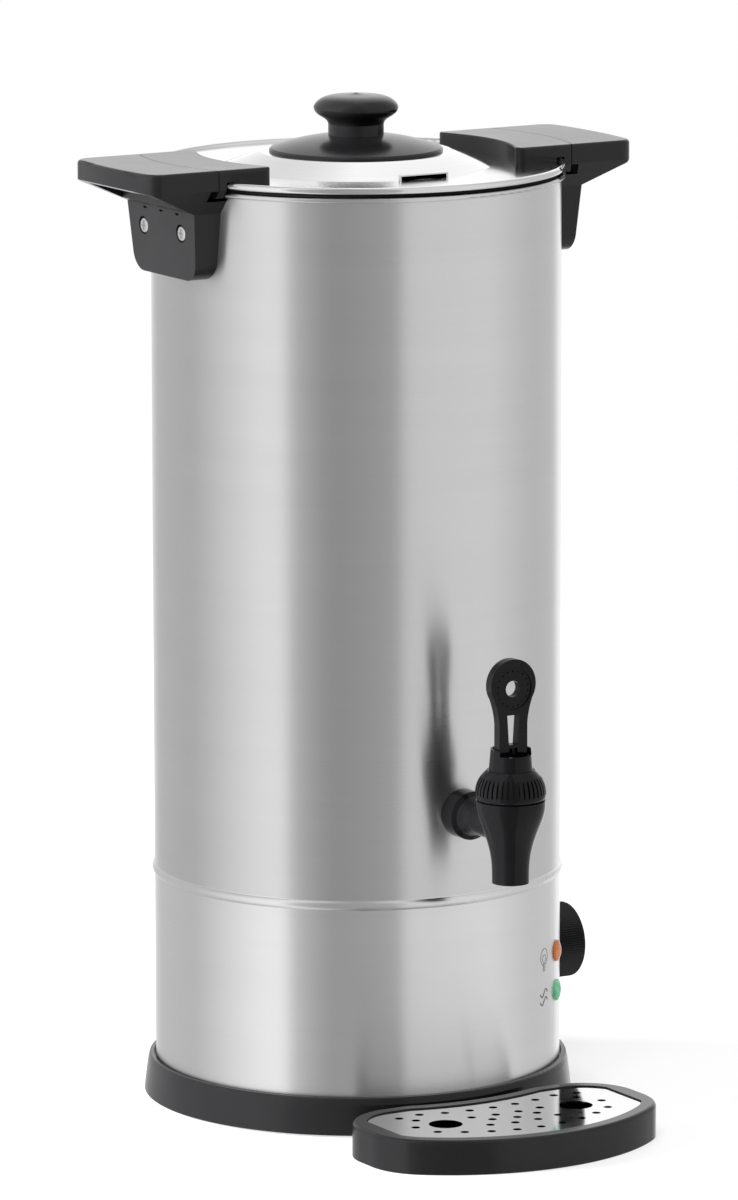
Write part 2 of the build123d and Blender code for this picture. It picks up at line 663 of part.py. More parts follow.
def fixed_handle(blank):
    """Grip and leg in one moulding, on the +X side."""
    bayonet_low = handle_top - BAYONET_DROP
    whole = blank - disc(seam_r + SEAM_GAP, bayonet_low, handle_top + CUT)
    whole -= disc(seam_r + BAYONET_DEPTH, bayonet_low, bayonet_low + BAYONET_H)
    whole -= disc(BODY_R, leg_bottom - CUT, handle_top)
    for screw_y in (-HANDLE_SCREW_Y, HANDLE_SCREW_Y):
        at = facing(leg_out_x - HANDLE_HOLE_DEPTH, screw_y, handle_screw_z, (1, 0, 0))
        whole -= at * disc(HANDLE_HOLE_R, 0, far_x)
        whole -= at * disc(HANDLE_SHANK_R, -HANDLE_SCREW_L, CUT)
    for notch_y in spread(NOTCH_COUNT, NOTCH_PITCH):
        notch = Pos(leg_out_x, notch_y, lip_z - 1.5 * NOTCH_H)
        whole -= notch * Box(NOTCH_W, NOTCH_W, NOTCH_H)
    hollow_half = HANDLE_HALF_W - 3 * HANDLE_WALL
    return whole - block(
        seam_r + BAYONET_DEPTH + HANDLE_WALL, end_x - HANDLE_WALL, -hollow_half, hollow_half,
        leg_bottom, handle_top - HANDLE_WALL,
    )


def handle_screw_at(screw_y):
    """Handle screw through the leg and the tank wall."""
    at = facing(leg_out_x - HANDLE_HOLE_DEPTH, screw_y, handle_screw_z, (1, 0, 0))
    return at * pan_screw(HANDLE_HEAD_R, HANDLE_HEAD_H, HANDLE_SHANK_R, HANDLE_SCREW_L)


def handle_nut_at(screw_y):
    """Long nut inside the tank, faced to the curved wall."""
    wall_x = sqrt(inner_r**2 - screw_y**2)
    at = facing(wall_x + HANDLE_NUT_FLAT_R, screw_y, handle_screw_z, (-1, 0, 0))
    nut = at * hexagon(HANDLE_NUT_FLAT_R, HANDLE_NUT_FLAT_R + HANDLE_NUT_L)
    nut &= disc(inner_r, handle_screw_z - HANDLE_NUT_L, handle_screw_z + HANDLE_NUT_L)
    return nut - handle_screw_at(screw_y)


blank_right = handle_blank()
handle_right = fixed_handle(blank_right)
handle_left = Rot(0, 0, 180) * handle_right
screws_right = [handle_screw_at(screw_y) for screw_y in (-HANDLE_SCREW_Y, HANDLE_SCREW_Y)]
nuts_right = [handle_nut_at(screw_y) for screw_y in (-HANDLE_SCREW_Y, HANDLE_SCREW_Y)]
for screw in screws_right:
    for copy in both_sides(screw):
        tank -= copy

# ---- lid ----------------------------------------------------------------------------------

lid_roll_r = lid_r - LID_ROLL_R
plug_r = inner_r - LID_PLUG_GAP
plug_bottom = lid_flat - LID_PLUG_H
pan_outside = [(lid_roll_r, lid_flat), (lid_slope_r, lid_flat), (LID_TOP_R, lid_top), (0, lid_top)]
lid_pan = turned(
    pan_outside
    + [
        (0, lid_top - WALL),
        (LID_TOP_R, lid_top - WALL),
        (lid_slope_r, lid_flat - WALL),
        (plug_r - WALL, lid_flat - WALL),
        (plug_r - WALL, plug_bottom),
        (plug_r, plug_bottom),
        (plug_r, lid_flat - WALL),
        (lid_roll_r, lid_flat - WALL),
    ]
)
lid_pan += Pos(0, 0, lid_bottom + LID_ROLL_R) * Torus(lid_roll_r, LID_ROLL_R)


def cone_z(radius):
    """Height of the lid's cone."""
    return lid_flat + (lid_slope_r - radius) * LID_CONE_H / (lid_slope_r - LID_TOP_R)


def vent_hood(inset, mouth_y):
    """Pressed hood of the vent, which falls from its lip back into the cone; inset gives its inside."""
    low = lid_flat - WALL - 2 * inset
    lip_z = cone_z(VENT_Y) + VENT_H - inset
    back_z = cone_z(VENT_BACK_Y) - WALL / 4 - inset
    side = Plane.YZ * make_face(Polyline((-mouth_y, low), (-mouth_y, lip_z), (-VENT_BACK_Y, back_z), close=True))
    mouth_x, back_x = VENT_L / 2 - inset, VENT_BACK_L / 2 - inset
    plan = make_face(Polyline(
        (-mouth_x, -mouth_y),
        (mouth_x, -mouth_y),
        (back_x, -VENT_BACK_Y),
        (-back_x, -VENT_BACK_Y),
        close=True,
    ))
    return extrude(side, VENT_L, both=True) & Pos(0, 0, low) * extrude(plan, lip_z - low)


lid_pan += vent_hood(0, VENT_Y)
lid_pan -= vent_hood(WALL, VENT_Y + CUT)

seal_in_r, seal_out_r = plug_r + FIT, inner_r - SEAL_AIR
seal_low = plug_bottom + 0.5
lip_low = RIM_TOP + (LID_GAP - SEAL_LIP_T) / 2
lid_seal = turned(
    [
        (seal_in_r, seal_low),
        (seal_out_r - SEAL_TAPER, seal_low),
        (seal_out_r, seal_low + SEAL_H / 2),
        (seal_out_r, lip_low),
        (BODY_R, lip_low),
        (BODY_R, lip_low + SEAL_LIP_T),
        (seal_in_r, lip_low + SEAL_LIP_T),
    ]
)


def lid_tab(blank):
    """Inner part of a handle, carried by the lid, on the +X side."""
    low, high = RIM_TOP - 2 * ROLL_R, handle_top
    plan = Circle(seam_r) - Circle(tab_in_r) & Pos(seam_r, 0) * Rectangle(2 * seam_r, 2 * HANDLE_HALF_W)
    plan = fillet_where(plan, TAB_CORNER_R, lambda v: Vector(*tuple(v)).length < tab_in_r + CUT)
    tab = Pos(0, 0, low) * extrude(plan, high - low)
    tab = fillet(tab.edges().group_by(Axis.Z)[-1].sort_by(Axis.X)[:-1], EDGE_R / 2)
    tab &= blank
    side_y = HANDLE_HALF_W - TAB_WALL
    hollow = ring(seam_r - TAB_WALL, tab_in_r + TAB_WALL, lid_flat, high - TAB_WALL)
    tab -= hollow & block(0, seam_r, -side_y, side_y, lid_flat, high)
    for screw_y in (-TAB_SCREW_Y, TAB_SCREW_Y):
        tab += Pos(seam_r - TAB_SCREW_IN, screw_y, 0) * disc(TAB_BOSS_R, lid_flat, high - TAB_WALL / 2)
    clear_top = lid_rim_top + FIT
    clear_in_r = lid_r - 2 * LID_ROLL_R - FIT
    rim_space = [
        (0, low - CUT),
        (lid_r + FIT, low - CUT),
        (lid_r + FIT, clear_top),
        (clear_in_r, clear_top),
        (clear_in_r, lid_flat),
    ]
    tab -= turned(rim_space + pan_outside[1:])
    for screw_y in (-TAB_SCREW_Y, TAB_SCREW_Y):
        tab -= tab_screw_at(screw_y)
    return tab


def tab_screw_at(screw_y):
    """Screw up through the lid into a boss of the tab."""
    at = facing(seam_r - TAB_SCREW_IN, screw_y, lid_flat - WALL, (0, 0, -1))
    return at * pan_screw(TAB_HEAD_R, TAB_HEAD_H, TAB_SCREW_R, TAB_SCREW_L)


tab_right = lid_tab(blank_right)
tab_left = Rot(0, 0, 180) * tab_right
tab_screws = [copy for screw_y in (-TAB_SCREW_Y, TAB_SCREW_Y) for copy in both_sides(tab_screw_at(screw_y))]
for screw in tab_screws:
    lid_pan -= screw

# The disc under the knob is domed; its edge stands on the lid and it is solid under the dome.
dome_top = lid_top + DISC_EDGE + DISC_DOME
dome_profile = [
    (DISC_R - DISC_EDGE / 2, lid_top + DISC_EDGE),
    ((DISC_R + KNOB_NECK_R) / 2, lid_top + DISC_EDGE + DISC_DOME * 0.62),
    (KNOB_NECK_R, dome_top),
]
lid_disc = curved_turned(
    dome_profile, [(0, dome_top), (0, lid_top), (DISC_R, lid_top), (DISC_R, lid_top + DISC_EDGE / 2)]
)
neck_z, wide_z, knob_top = lid_top + KNOB_NECK_H, lid_top + KNOB_WIDE_H, lid_top + KNOB_H
crown = knob_top - wide_z
throat = wide_z - neck_z
knob_profile = [
    (KNOB_NECK_R, neck_z),
    (KNOB_NECK_R + (KNOB_R - KNOB_NECK_R) * 0.18, neck_z + throat * 0.26),
    (KNOB_R - (KNOB_R - KNOB_NECK_R) * 0.14, wide_z - throat * 0.3),
    (KNOB_R, wide_z),
    (KNOB_R * 0.92, wide_z + crown * 0.4),
    (KNOB_R * 0.55, knob_top - crown * 0.18),
    (0, knob_top),
]
lid_knob = curved_turned(knob_profile, [(0, neck_z)])
lid_knob += disc(KNOB_NECK_R, dome_top, neck_z)
knob_screw = facing(0, 0, lid_top - WALL, (0, 0, -1)) * pan_screw(
    2 * KNOB_SCREW_R, KNOB_SCREW_R, KNOB_SCREW_R, KNOB_SCREW_L
)
lid_pan -= knob_screw
lid_disc -= knob_screw
lid_knob -= knob_screw

# ---- tap ----------------------------------------------------------------------------------

tap_at = Pos(0, tap_y, 0)
flare_top = SHANK_Z + TAP_FLARE_TOP
body_profile = []
for i in range(8):
    share = i / 7
    blend = share**TAP_FLARE_POWER
    swell = 3 * blend**2 - 2 * blend**3
    radius = SPOUT_R + (TAP_BODY_R - SPOUT_R) * swell
    body_profile.append((radius, spout_bottom + (flare_top - spout_bottom) * share))
tap_shell = curved_turned(body_profile, [(TAP_BODY_R, tap_shoulder), (0, tap_shoulder), (0, spout_bottom)])
tap_shell += disc(TAP_NECK_R, tap_shoulder - CUT, tap_neck_top)
seat_r = CUP_R + 1.5
chamber = turned(
    [
        (0, seat_z),
        (seat_r, seat_z),
        (seat_r, cup_top),
        (CHAMBER_R, SHANK_Z + SHANK_BORE_R),
        (CHAMBER_R, tap_neck_top + CUT),
        (0, tap_neck_top + CUT),
    ]
)
flange_front = BODY_R + FLANGE_L
wall_y = sqrt(BODY_R**2 - FLANGE_R**2)
barrel_end = -tap_y - TAP_BODY_R / 4
barrel = shank_line * turned(
    [
        (0, inner_r - SHANK_INSIDE),
        (SHANK_R, inner_r - SHANK_INSIDE),
        (SHANK_R, wall_y),
        (FLANGE_R, wall_y),
        (FLANGE_R, flange_front - 2.0),
        (FLANGE_R - 2.6, flange_front),
        (BARREL_R + 0.6, flange_front + 5.0),
        (BARREL_R, flange_front + 9.0),
        (BARREL_R, barrel_end),
        (0, barrel_end),
    ]
)
wall_relief = disc(BODY_R, SHANK_Z - 2 * FLANGE_R, SHANK_Z + 2 * FLANGE_R)
wall_relief -= shank_line * disc(SHANK_R, 0, BODY_R + CUT)
tap_body = tap_at * tap_shell + (barrel - wall_relief) - tap_at * chamber
tap_body -= tap_at * disc(SPOUT_BORE_R, spout_bottom - CUT, seat_z + CUT)
tap_body -= shank_line * disc(SHANK_BORE_R, 0, -tap_y)

inside_wall = sqrt(inner_r**2 - WASHER_R**2)
tap_washer = shank_line * disc(WASHER_R, inside_wall - WASHER_T, inner_r) & disc(inner_r, 0, RIM_TOP)
tap_washer -= shank_line * disc(SHANK_R, 0, BODY_R)
tap_nut = shank_line * Pos(0, 0, inside_wall - WASHER_T - TAP_NUT_T) * hexagon(TAP_NUT_FLAT_R, TAP_NUT_T)
tap_nut -= shank_line * disc(SHANK_R, 0, BODY_R)

bonnet_profile = [
    (BONNET_R - 0.2, bonnet_bottom + 0.07 * BONNET_H),
    (BONNET_R, bonnet_bottom + 0.3 * BONNET_H),
    (BONNET_R - 1.8, bonnet_bottom + 0.65 * BONNET_H),
    (BONNET_FLAT_R + 2.6, bonnet_top - 0.15 * BONNET_H),
    (BONNET_FLAT_R, bonnet_top),
]
bonnet = curved_turned(bonnet_profile, [(0, bonnet_top), (0, bonnet_bottom), (BONNET_R - 0.9, bonnet_bottom)])
groove_at = Pos(BONNET_R - BONNET_GROOVE_D, 0, (bonnet_bottom + bonnet_top) / 2)
groove_end = BONNET_GROOVE_SHARE * BONNET_H / 2
groove = block(0, 2 * BONNET_GROOVE_D, -BONNET_GROOVE_W / 2, BONNET_GROOVE_W / 2, -groove_end, groove_end)
groove = groove_at * Rot(0, -BONNET_GROOVE_TILT, 0) * groove
for i in range(BONNET_GROOVE_COUNT):
    bonnet -= Rot(0, 0, i * 360 / BONNET_GROOVE_COUNT) * groove
bonnet -= disc(TAP_NECK_R, bonnet_bottom - CUT, tap_neck_top)
bonnet -= disc(CHAMBER_R, tap_neck_top - CUT, bonnet_top - BONNET_TOP_T)
bonnet -= disc(STEM_R + RUNNING_FIT, 0, collar_top)

collar = turned(
    [
        (COLLAR_BORE_R, bonnet_top),
        (COLLAR_R + COLLAR_FLARE, bonnet_top),
        (COLLAR_R, collar_top),
        (COLLAR_BORE_R, collar_top),
    ]
)
notch_bottom = collar_top - COLLAR_NOTCH_H
notch = block(-COLLAR_BORE_R, COLLAR_BORE_R, -2 * COLLAR_R, -LEVER_T / 2 - FIT, notch_bottom, collar_top + CUT)
collar -= notch
pin_axis = facing(0, 0, pin_z, (1, 0, 0))
pin = pin_axis * Cylinder(PIN_R, 2 * (COLLAR_BORE_R + 0.7))
collar -= pin

lever_head_z = pin_z + LEVER_L
lever_hole_z = lever_head_z - LEVER_HOLE_DROP
slot_low = pin_z + LEVER_SLOT_START
slot_high = slot_low + LEVER_SLOT_L
slot_low_half, slot_high_half = 0.36 * LEVER_SLOT_W, LEVER_SLOT_W / 2
slot_outline = Polyline(
    (-slot_low_half, slot_low),
    (slot_low_half, slot_low),
    (slot_high_half, slot_high),
    (-slot_high_half, slot_high),
    close=True,
)
neck = LEVER_NECK_W / 2
neck_z0 = pin_z + LEVER_NECK_L
head_z0 = lever_head_z - LEVER_HEAD_R / 4
head_half = 0.968 * LEVER_HEAD_R
mid_half, mid_z = neck + (head_half - neck) * 0.22, neck_z0 + (head_z0 - neck_z0) * 0.38
blade = Plane.XZ * make_face(
    Polyline((neck, pin_z), (neck, neck_z0))
    + Spline((neck, neck_z0), (mid_half, mid_z), (head_half, head_z0))
    + Polyline((head_half, head_z0), (-head_half, head_z0))
    + Spline((-head_half, head_z0), (-mid_half, mid_z), (-neck, neck_z0))
    + Polyline((-neck, neck_z0), (-neck, pin_z), (neck, pin_z))
)
head_front = facing(0, -LEVER_T / 2, lever_head_z, (0, 1, 0))
hole_front = facing(0, -LEVER_T / 2, lever_hole_z, (0, 1, 0))
lever = extrude(blade, LEVER_T / 2, both=True)
lever += head_front * disc(LEVER_HEAD_R, 0, LEVER_T)
lever += pin_axis * Cylinder(LEVER_T / 2, LEVER_NECK_W)
lever -= hole_front * disc(LEVER_HOLE_R, -CUT, LEVER_T + CUT)
lever -= hole_front * disc(LEVER_DISH_R, -CUT, LEVER_DISH_DEPTH)
lever -= extrude(Plane.XZ * make_face(slot_outline), LEVER_T, both=True)
lever -= block(-LEVER_FORK_W / 2, LEVER_FORK_W / 2, -LEVER_T, LEVER_T, pin_z - LEVER_T, pin_z + LEVER_FORK_H)
lever -= pin_axis * Cylinder(PIN_R + RUNNING_FIT / 2, LEVER_NECK_W + CUT)

eye_r = PIN_R + 0.2
eye_low = pin_z - STEM_LIFT - 0.4
flats_z = eye_low - eye_r - STEM_LIFT / 2
stem_top = pin_z + eye_r + CUT
stem_root = cup_top - CUP_H / 2
flatted = disc(STEM_R, flats_z, stem_top) & Pos(0, 0, pin_z) * Box(2 * STEM_FLAT, 2 * STEM_R, 2 * pin_z)
stem = disc(STEM_R, stem_root, flats_z) + flatted
stem -= block(-STEM_R, STEM_R, -eye_r, eye_r, eye_low, pin_z)
for eye_z in (eye_low, pin_z):
    stem -= facing(0, 0, eye_z, (1, 0, 0)) * Cylinder(eye_r, 2 * STEM_R)
seat_cup = turned(
    [
        (0, seat_z),
        (CUP_R, seat_z),
        (CUP_R, seat_z + 0.3 * CUP_H),
        (CUP_R - 0.8 * CUP_TAPER, cup_top - 0.2 * CUP_H),
        (CUP_R - CUP_TAPER, cup_top),
        (0, cup_top),
    ]
)
seat_cup -= stem
spring_height = bonnet_top - BONNET_TOP_T - cup_top - 2 * SPRING_WIRE_R
helix = Helix(spring_height / SPRING_TURN_COUNT, spring_height, SPRING_R)
coil = sweep(Plane(origin=helix @ 0, z_dir=helix % 0) * Circle(SPRING_WIRE_R), path=helix)
tap_spring = Pos(0, 0, cup_top + SPRING_WIRE_R) * coil

# ---- drip tray ----------------------------------------------------------------------------

front_y = -(base_foot_r + TRAY_LENGTH)
rear_y = -(BODY_R + RING_FLARE_TOP + TRAY_REAR_Y)
back_r = base_foot_r + TRAY_BACK_GAP
reach = TRAY_LENGTH + base_foot_r


side_length = rear_y - front_y
tray_outline = Pos(0, front_y + TRAY_FRONT_R) * Circle(TRAY_FRONT_R)
tray_outline &= Pos(0, rear_y - reach) * Rectangle(2 * TRAY_HALF_W, 2 * reach)
tray_outline = fillet_where(
    tray_outline, TRAY_CORNER_FRONT_R, lambda v: abs(v.X) > TRAY_HALF_W - CUT and v.Y < rear_y - side_length / 3
)
tray_outline = fillet_where(
    tray_outline, TRAY_CORNER_REAR_R, lambda v: abs(v.X) > TRAY_HALF_W - CUT and v.Y > rear_y - CUT
)
tray_outline -= Circle(back_r)
horn_x = sqrt(back_r**2 - rear_y**2)
tray_outline = fillet_where(
    tray_outline, TRAY_HORN_R, lambda v: abs(v.Y - rear_y) < CUT / 10 and abs(abs(v.X) - horn_x) < CUT
)
lug_root = LUG_HALF_W + LUG_SLOPE
lug = make_face(Polyline(
    (-LUG_HALF_W, -BODY_R),
    (LUG_HALF_W, -BODY_R),
    (lug_root, -back_r - CUT),
    (-lug_root, -back_r - CUT),
    close=True,
))
lug -= Circle(base_foot_r + FIT)


def opening(margin):
    """The tray's plan drawn in by the width of its rim and a margin; the rim is wider at the two ends."""
    half_w = TRAY_HALF_W - TRAY_END_RIM - margin
    return offset(tray_outline, -TRAY_RIM - margin) & Pos(0, rear_y - reach) * Rectangle(2 * half_w, 2 * reach)


drip_tray = extrude(tray_outline, TRAY_H)
drip_tray = fillet(drip_tray.edges().group_by(Axis.Z)[-1], TRAY_EDGE_R)
ledge_z = TRAY_H - PLATE_SINK - DRIP_PLATE_T
drip_tray -= Pos(0, 0, ledge_z) * extrude(opening(0), TRAY_H)
drip_tray -= Pos(0, 0, TRAY_FLOOR) * extrude(opening(TRAY_LEDGE), TRAY_H)
rim_hollow = offset(tray_outline, -TRAY_WALL) - opening(-TRAY_WALL)
drip_tray -= extrude(rim_hollow, TRAY_H - TRAY_WALL - TRAY_EDGE_R / 2)
drip_tray += extrude(lug, LUG_H)

drip_plate = Pos(0, 0, ledge_z) * extrude(opening(PLATE_CLEARANCE), DRIP_PLATE_T)


def drain_row(hole_count, distance_in, curve_r):
    """Centres of one curved row of small holes, at a distance from the foot of the base."""
    for step in spread(hole_count, DRAIN_PITCH):
        angle = step / curve_r
        yield (curve_r * sin(angle), curve_r * (1 - cos(angle)) - base_foot_r - distance_in)


finger_y = -base_foot_r - FINGER_HOLE_IN


def drain_spots():
    """Centres of all the small holes: curved rows, and a few round each finger hole."""
    yield from drain_row(DRAIN_ROW_COUNT, DRAIN_INNER_IN, base_foot_r + DRAIN_INNER_IN)
    yield from drain_row(DRAIN_ROW_COUNT - 3, DRAIN_SECOND_IN, base_foot_r + DRAIN_SECOND_IN)
    yield from drain_row(DRAIN_ROW_COUNT - 4, DRAIN_MID_IN, DRAIN_MID_R)
    yield from drain_row(DRAIN_ROW_COUNT - 3, DRAIN_FOURTH_IN, DRAIN_OUTER_R)
    yield from drain_row(DRAIN_ROW_COUNT, DRAIN_OUTER_IN, DRAIN_OUTER_R)
    for side in (-1, 1):
        around = [(DRAIN_ROUND_R, DRAIN_ROUND_TILT + turn) for turn in spread(3, DRAIN_ROUND_STEP)]
        around.append((DRAIN_FAR_R, DRAIN_ROUND_TILT + DRAIN_ROUND_STEP))
        for radius, angle in around:
            x = FINGER_HOLE_X + radius * cos(radians(angle))
            yield (side * x, finger_y + radius * sin(radians(angle)))


for spot in drain_spots():
    drip_plate -= Pos(*spot, 0) * disc(DRAIN_R, 0, 2 * TRAY_H)
for side in (-1, 1):
    drip_plate -= Pos(side * FINGER_HOLE_X, finger_y, 0) * disc(FINGER_HOLE_R, 0, 2 * TRAY_H)

# ---- write every node ---------------------------------------------------------------------

os.makedirs("parts", exist_ok=True)
save("tank", tank)
save("skirt", skirt)
save("base_ring", base_ring)
save("base_plate", base_plate)
save("base_screws", *base_screws)
save("rubber_feet", *feet)
save("element_plate", element_plate)
save("heating_element", heating_element)
save("element_stud", element_stud)
save("clamp_bar", clamp_bar)
save("clamp_nut", clamp_nut)
save("heat_cutout", heat_cutout)
save("thermostat", thermostat)
save("thermostat_screws", *stat_screws)
save("terminal_block", terminal_block)
save("cord_gland", cord_gland)
save("lamp_orange", lamp_lens(LAMP_HIGH_Z))
save("lamp_green", lamp_lens(lamp_low_z))
save("lamp_housings", lamp_housing(LAMP_HIGH_Z), lamp_housing(lamp_low_z))
save("dial_bezel", dial_bezel)
save("control_knob", control_knob)
save("control_shaft", control_shaft)
save("handle_right", handle_right)
save("handle_left", handle_left)
save("handle_screws", *[copy for screw in screws_right for copy in both_sides(screw)])
save("handle_nuts", *[copy for nut in nuts_right for copy in both_sides(nut)])
save("lid_pan", lid_pan)
save("lid_seal", lid_seal)
save("lid_tab_right", tab_right)
save("lid_tab_left", tab_left)
save("lid_tab_screws", *tab_screws)
save("lid_disc", lid_disc)
save("lid_knob", lid_knob)
save("lid_knob_screw", knob_screw)
save("tap_body", tap_body)
save("tap_washer", tap_washer)
save("tap_nut", tap_nut)
save("tap_bonnet", tap_at * bonnet)
save("tap_collar", tap_at * collar)
save("tap_lever", tap_at * lever)
save("lever_pin", tap_at * pin)
save("tap_stem", tap_at * stem)
save("seat_cup", tap_at * seat_cup)
save("tap_spring", tap_at * tap_spring)
save("drip_tray", drip_tray)
save("drip_plate", drip_plate)
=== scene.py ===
# %% [markdown]
# # Dressing a countertop water boiler
# The boiler's shape was modelled as CAD solids, and those solids are loaded here as a frame that
# stays as it is. What Blender adds is the look: brushed and polished steel, moulded black plastic,
# lamp lenses, printed symbols, and a plain pale studio with a camera.

# %% Load the frame
import json
from math import cos, pi, radians, sin

import bmesh
import bpy
from mathutils import Matrix, Quaternion, Vector


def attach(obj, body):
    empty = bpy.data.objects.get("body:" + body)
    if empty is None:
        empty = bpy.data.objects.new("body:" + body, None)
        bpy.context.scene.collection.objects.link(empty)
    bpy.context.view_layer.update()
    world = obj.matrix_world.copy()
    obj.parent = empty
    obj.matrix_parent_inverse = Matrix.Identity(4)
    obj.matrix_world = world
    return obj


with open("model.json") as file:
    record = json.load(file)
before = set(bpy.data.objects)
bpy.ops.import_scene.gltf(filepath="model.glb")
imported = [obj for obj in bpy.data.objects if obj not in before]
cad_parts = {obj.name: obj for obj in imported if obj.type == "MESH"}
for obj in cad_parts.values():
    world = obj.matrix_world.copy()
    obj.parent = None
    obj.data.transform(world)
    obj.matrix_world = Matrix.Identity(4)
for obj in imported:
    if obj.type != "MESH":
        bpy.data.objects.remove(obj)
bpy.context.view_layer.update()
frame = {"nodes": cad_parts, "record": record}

NODES = frame["nodes"]
MM = 0.001

# %% [markdown]
# ## Small helpers for material recipes
# A procedural material is a chain of nodes. Written one call at a time it gets long, so `add` makes
# a node, sets or links its inputs and hands it back, and the other helpers name the steps that come
# back again and again. Patterns read Object coordinates, which here are metres in the boiler's own
# frame, so a pattern has its real size and stays on its piece when the piece moves.

# %% Node helpers
def add(tree, kind, inputs=None, **settings):
    """One node. An input is a value or the socket of another node."""
    made = tree.nodes.new(kind)
    for name, value in settings.items():
        setattr(made, name, value)
    for name, value in (inputs or {}).items():
        if isinstance(value, bpy.types.NodeSocket):
            tree.links.new(value, made.inputs[name])
        else:
            made.inputs[name].default_value = value
    return made


def maths(tree, operation, *values):
    """The result of one Math node."""
    return add(tree, "ShaderNodeMath", dict(enumerate(values)), operation=operation).outputs[0]


def vector_maths(tree, operation, *vectors):
    """One Vector Math node."""
    return add(tree, "ShaderNodeVectorMath", dict(enumerate(vectors)), operation=operation)


def place(tree):
    """Object coordinates."""
    return add(tree, "ShaderNodeTexCoord").outputs["Object"]


def stretched(tree, scale, source=None):
    """Coordinates scaled differently along each axis."""
    return add(tree, "ShaderNodeMapping", {"Vector": source or place(tree), "Scale": scale}).outputs["Vector"]


def noise(tree, vector, detail=4.0, roughness=0.55):
    """Noise value, 0 to 1."""
    inputs = {"Vector": vector, "Scale": 1.0, "Detail": detail, "Roughness": roughness}
    return add(tree, "ShaderNodeTexNoise", inputs).outputs["Fac"]


def ranged(tree, value, low, high, out_low, out_high):
    """A value mapped from one range to another, clamped."""
    inputs = {"Value": value, "From Min": low, "From Max": high, "To Min": out_low, "To Max": out_high}
    return add(tree, "ShaderNodeMapRange", inputs).outputs["Result"]


def tinted(tree, value, dark, light):
    """A colour between two, by a value from 0 to 1."""
    mix = add(tree, "ShaderNodeMix", {0: value}, data_type="RGBA")
    mix.inputs[6].default_value = (*dark, 1.0)
    mix.inputs[7].default_value = (*light, 1.0)
    return mix.outputs[2]


def bump(tree, height, strength, distance=0.1 * MM):
    """Surface normal disturbed by a height."""
    inputs = {"Height": height, "Strength": strength, "Distance": distance}
    return add(tree, "ShaderNodeBump", inputs).outputs["Normal"]


# %% [markdown]
# A finish starts from Blender's Principled shader. Sockets that are the same all over a surface are
# set on the shader itself, and only what varies is wired to nodes: that survives an export.

# %% Start and finish a material
def finish_of(name, **sockets):
    """A new material with its tree and shader; the sockets are set on its shader, _ for a space."""
    made = bpy.data.materials.new(name)
    made.use_nodes = True
    shader = made.node_tree.nodes["Principled BSDF"]
    for socket, value in sockets.items():
        shader.inputs[socket.replace("_", " ")].default_value = value
    return made, made.node_tree, shader


def wire(tree, shader, **sockets):
    """Link sockets of the shader."""
    for socket, source in sockets.items():
        tree.links.new(source, shader.inputs[socket.replace("_", " ")])


# %% [markdown]
# ## Brushed steel jacket
# The tank and its skirt are rolled from sheet that was brushed along its length, so fine lines run
# round the tank. Each line is a tiny groove that spreads a reflection up and down and leaves it
# crisp sideways: the tank shows the room as upright bands. Modelling grooves would take millions of
# faces. Anisotropy does the same in the shader, with its tangent set upright, and a noise that is
# stretched round the tank gives the lines themselves. The skirt comes from a lighter sheet.

# %% Brushed steel
SPREAD = (0.3, 0.7)  # where nearly all values of a noise lie


def varied(tree, value, low, high):
    """A noise's usual spread mapped to a range."""
    return ranged(tree, value, *SPREAD, low, high)


def round_axis(tree, centre=(0.0, 0.0)):
    """Angle, radius and height about an upright axis, as one vector."""
    point = add(tree, "ShaderNodeSeparateXYZ", {"Vector": place(tree)})
    x = maths(tree, "SUBTRACT", point.outputs["X"], centre[0])
    y = maths(tree, "SUBTRACT", point.outputs["Y"], centre[1])
    flat = add(tree, "ShaderNodeCombineXYZ", {"X": x, "Y": y})
    radius = vector_maths(tree, "LENGTH", flat.outputs[0]).outputs["Value"]
    angle = maths(tree, "ARCTAN2", y, x)
    return add(tree, "ShaderNodeCombineXYZ", {"X": angle, "Y": radius, "Z": point.outputs["Z"]}).outputs[0]


def brushed_steel(name, tones):
    """Sheet steel, brushed round the tank."""
    made, tree, shader = finish_of(name, Metallic=1.0, Anisotropic=0.82)
    around = round_axis(tree)
    lines = noise(tree, stretched(tree, (0.35, 0.0, 2600.0), around), 6.0, 0.7)
    broad = noise(tree, stretched(tree, (0.5, 0.0, 60.0), around), 3.0)
    handling = noise(tree, stretched(tree, (7.0, 7.0, 5.0)), 3.0)
    tone = maths(tree, "ADD", maths(tree, "MULTIPLY", lines, 0.6), maths(tree, "MULTIPLY", broad, 0.4))
    wire(
        tree, shader,
        Base_Color=tinted(tree, varied(tree, tone, 0.0, 1.0), *tones),
        Roughness=maths(tree, "ADD", varied(tree, lines, 0.28, 0.32), varied(tree, handling, -0.02, 0.02)),
        Tangent=add(tree, "ShaderNodeCombineXYZ", {"Z": 1.0}).outputs[0],
        Normal=bump(tree, lines, 0.04, 0.05 * MM),
    )
    return made


TANK_TONES = ((0.69, 0.69, 0.695), (0.74, 0.74, 0.745))
SKIRT_TONES = ((0.8, 0.8, 0.805), (0.85, 0.85, 0.855))
FINISHES = {"brushed_steel": brushed_steel("brushed_steel", TANK_TONES)}
skirt_steel = brushed_steel("skirt_steel", SKIRT_TONES)
print("made", list(FINISHES), skirt_steel.name)

# %% [markdown]
# ## Polished lid and drip plate
# The lid was spun and then polished, which leaves faint circular marks about its middle. Polar
# coordinates give them: a noise that changes fast with the radius and hardly at all with the angle.
# The marks smear a reflection towards the middle and away from it, so here the tangent is radial.
# It is worked out from the place on the piece, and then turned to world space, because the lid
# turns. The perforated plate of the tray is the same, only brighter, about its own middle.

